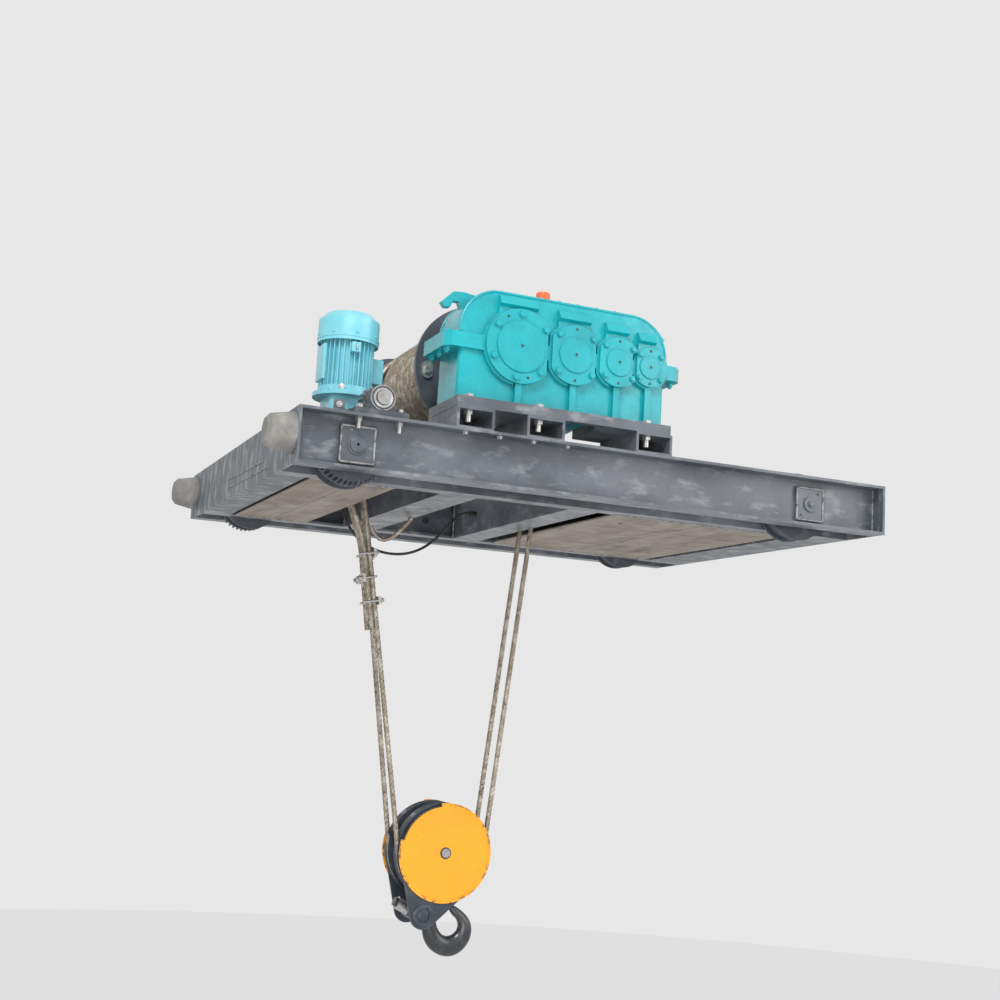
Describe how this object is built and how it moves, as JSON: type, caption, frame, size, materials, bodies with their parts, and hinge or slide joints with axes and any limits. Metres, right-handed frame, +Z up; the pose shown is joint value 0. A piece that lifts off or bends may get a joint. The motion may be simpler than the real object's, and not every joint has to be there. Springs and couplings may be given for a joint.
{
  "type": "electric wire rope hoist trolley",
  "caption": "Low trolley on rail wheels with a helical gearbox, rope drum, travel motor and a rope-hung hook block.",
  "frame": {"origin": "on the rail heads, midway between the four wheel contact points", "axes": "+X along the rails away from the bumpers, +Y along the drum away from the gearbox, +Z up"},
  "size_m": [2.558, 1.876, 2.6499],
  "materials": {
    "frame_paint": "satin",
    "bare_steel": "rolled",
    "dark_cast": "as cast",
    "machined_steel": "turned",
    "gearbox_turquoise": "gloss",
    "motor_blue": "satin",
    "drum_grey": "satin",
    "rope_steel": "greased wire",
    "zinc": "zinc plated",
    "block_yellow": "satin",
    "block_dark": "satin",
    "hook_black": "gloss",
    "bumper_grey": "matte",
    "breather_orange": "gloss",
    "cable_black": "matte"
  },
  "bodies": {
    "frame": {"outer_girders": "frame_paint", "inner_girders": "frame_paint", "end_beams": "frame_paint", "cross_beams": "frame_paint", "soffit_plates": "bare_steel", "deck_plates": "frame_paint", "axle_plates": "frame_paint", "bumpers": "bumper_grey", "gearbox_pedestals": "frame_paint", "gearbox_bedplate": "frame_paint", "wheel_axles": "machined_steel", "pillow_blocks": "dark_cast", "frame_bolts": "zinc", "reducer_housing": "motor_blue", "travel_motor_body": "motor_blue", "travel_motor_cowl": "motor_blue", "gearbox_lower": "gearbox_turquoise", "gearbox_upper": "gearbox_turquoise", "bearing_covers": "gearbox_turquoise", "gearbox_bolts": "gearbox_turquoise", "inspection_cover": "gearbox_turquoise", "breather_cap": "breather_orange", "gearbox_bearings": "machined_steel", "drum_pedestal": "frame_paint", "hoist_motor_body": "motor_blue", "hoist_motor_cowl": "motor_blue", "guide_bracket": "frame_paint", "rope_front": "rope_steel", "rope_rear": "rope_steel", "rope_anchor": "frame_paint", "rope_clips": "zinc", "signal_cable": "cable_black", "cable_glands": "cable_black"},
    "drum": {"drum_shell": "drum_grey", "drum_flanges": "drum_grey", "rope_windings": "rope_steel", "drum_coupling": "drum_grey", "rope_clamps": "zinc", "output_shaft": "machined_steel"},
    "second_gear_shaft": {"second_shaft": "machined_steel"},
    "third_gear_shaft": {"third_shaft": "machined_steel"},
    "hoist_rotor": {"input_shaft": "machined_steel", "hoist_motor_rotor": "machined_steel"},
    "guide_sheaves": {"guide_sheave_front": "dark_cast", "guide_sheave_rear": "dark_cast"},
    "hook_block": {"sheave_axle": "machined_steel"},
    "block_housing": {"block_cheeks": "block_dark", "block_covers": "block_yellow"},
    "block_sheaves": {"block_sheave_front": "block_dark", "block_sheave_rear": "block_dark"},
    "crosshead": {"crosshead": "block_dark"},
    "hook": {"hook": "hook_black", "hook_nut": "machined_steel"},
    "driven_wheel_near": {"driven_wheel_near": "dark_cast"},
    "driven_wheel_far": {"driven_wheel_far": "dark_cast"},
    "idle_wheel_near": {"idle_wheel_near": "dark_cast"},
    "idle_wheel_far": {"idle_wheel_far": "dark_cast"},
    "drive_shaft": {"drive_shaft": "machined_steel"},
    "travel_rotor": {"travel_motor_rotor": "machined_steel"}
  },
  "joints": [
    {"name": "drum_spin", "type": "hinge", "parent": "frame", "child": "drum", "pos_m": [-0.337, 0.1, 0.583], "axis": [0, 1, 0], "range_deg": [-223, 3345]},
    {"name": "hook_lift", "type": "slide", "parent": "frame", "child": "hook_block", "axis": [0, 0, 1], "range_m": [-6.02, 0.42], "deforming": ["rope_front", "rope_rear"]},
    {"name": "second_shaft_spin", "type": "hinge", "parent": "frame", "child": "second_gear_shaft", "pos_m": [-0.112, -0.72, 0.583], "axis": [0, 1, 0], "continuous": true},
    {"name": "third_shaft_spin", "type": "hinge", "parent": "frame", "child": "third_gear_shaft", "pos_m": [0.073, -0.72, 0.583], "axis": [0, 1, 0], "continuous": true},
    {"name": "hoist_rotor_spin", "type": "hinge", "parent": "frame", "child": "hoist_rotor", "pos_m": [0.209, -0.4, 0.583], "axis": [0, 1, 0], "continuous": true},
    {"name": "guide_sheave_spin", "type": "hinge", "parent": "frame", "child": "guide_sheaves", "pos_m": [0.095, 0.195, 0.38], "axis": [0, 1, 0], "continuous": true},
    {"name": "block_sheave_spin", "type": "hinge", "parent": "hook_block", "child": "block_sheaves", "pos_m": [-0.15, 0.195, -1.365], "axis": [0, 1, 0], "continuous": true},
    {"name": "block_tilt", "type": "hinge", "parent": "hook_block", "child": "block_housing", "pos_m": [-0.15, 0.195, -1.365], "axis": [0, 1, 0], "range_deg": [-40, 25]},
    {"name": "hook_tilt", "type": "hinge", "parent": "block_housing", "child": "crosshead", "pos_m": [-0.23, 0.195, -1.62], "axis": [0, 1, 0], "range_deg": [-5, 125]},
    {"name": "hook_swivel", "type": "hinge", "parent": "crosshead", "child": "hook", "pos_m": [-0.23, 0.195, -1.62], "axis": [-0.9026, 0, 0.4305], "continuous": true},
    {"name": "driven_wheel_near_spin", "type": "hinge", "parent": "frame", "child": "driven_wheel_near", "pos_m": [-0.95, -0.755, 0.125], "axis": [0, 1, 0], "continuous": true},
    {"name": "driven_wheel_far_spin", "type": "hinge", "parent": "frame", "child": "driven_wheel_far", "pos_m": [-0.95, 0.755, 0.125], "axis": [0, 1, 0], "continuous": true},
    {"name": "drive_shaft_spin", "type": "hinge", "parent": "frame", "child": "drive_shaft", "pos_m": [-0.88226, 0, 0.295], "axis": [0, 1, 0], "continuous": true},
    {"name": "travel_rotor_spin", "type": "hinge", "parent": "frame", "child": "travel_rotor", "pos_m": [-0.932, -0.6, 0.45], "axis": [0, 0, 1], "continuous": true},
    {"name": "idle_wheel_near_spin", "type": "hinge", "parent": "frame", "child": "idle_wheel_near", "pos_m": [0.95, -0.755, 0.125], "axis": [0, 1, 0], "continuous": true},
    {"name": "idle_wheel_far_spin", "type": "hinge", "parent": "frame", "child": "idle_wheel_far", "pos_m": [0.95, 0.755, 0.125], "axis": [0, 1, 0], "continuous": true}
  ],
  "couplings": [
    {"joint": "hook_lift", "follows": "drum_spin", "m_per_rad": -0.10275},
    {"joint": "second_shaft_spin", "follows": "drum_spin", "ratio": -3.4118},
    {"joint": "third_shaft_spin", "follows": "drum_spin", "ratio": 11.439},
    {"joint": "hoist_rotor_spin", "follows": "drum_spin", "ratio": -37.178},
    {"joint": "guide_sheave_spin", "follows": "drum_spin", "ratio": 1.7125},
    {"joint": "block_sheave_spin", "follows": "drum_spin", "ratio": 0.54079},
    {"joint": "driven_wheel_far_spin", "follows": "driven_wheel_near_spin", "ratio": 1},
    {"joint": "drive_shaft_spin", "follows": "driven_wheel_near_spin", "ratio": -2.5882},
    {"joint": "travel_rotor_spin", "follows": "driven_wheel_near_spin", "ratio": 51.765}
  ]
}
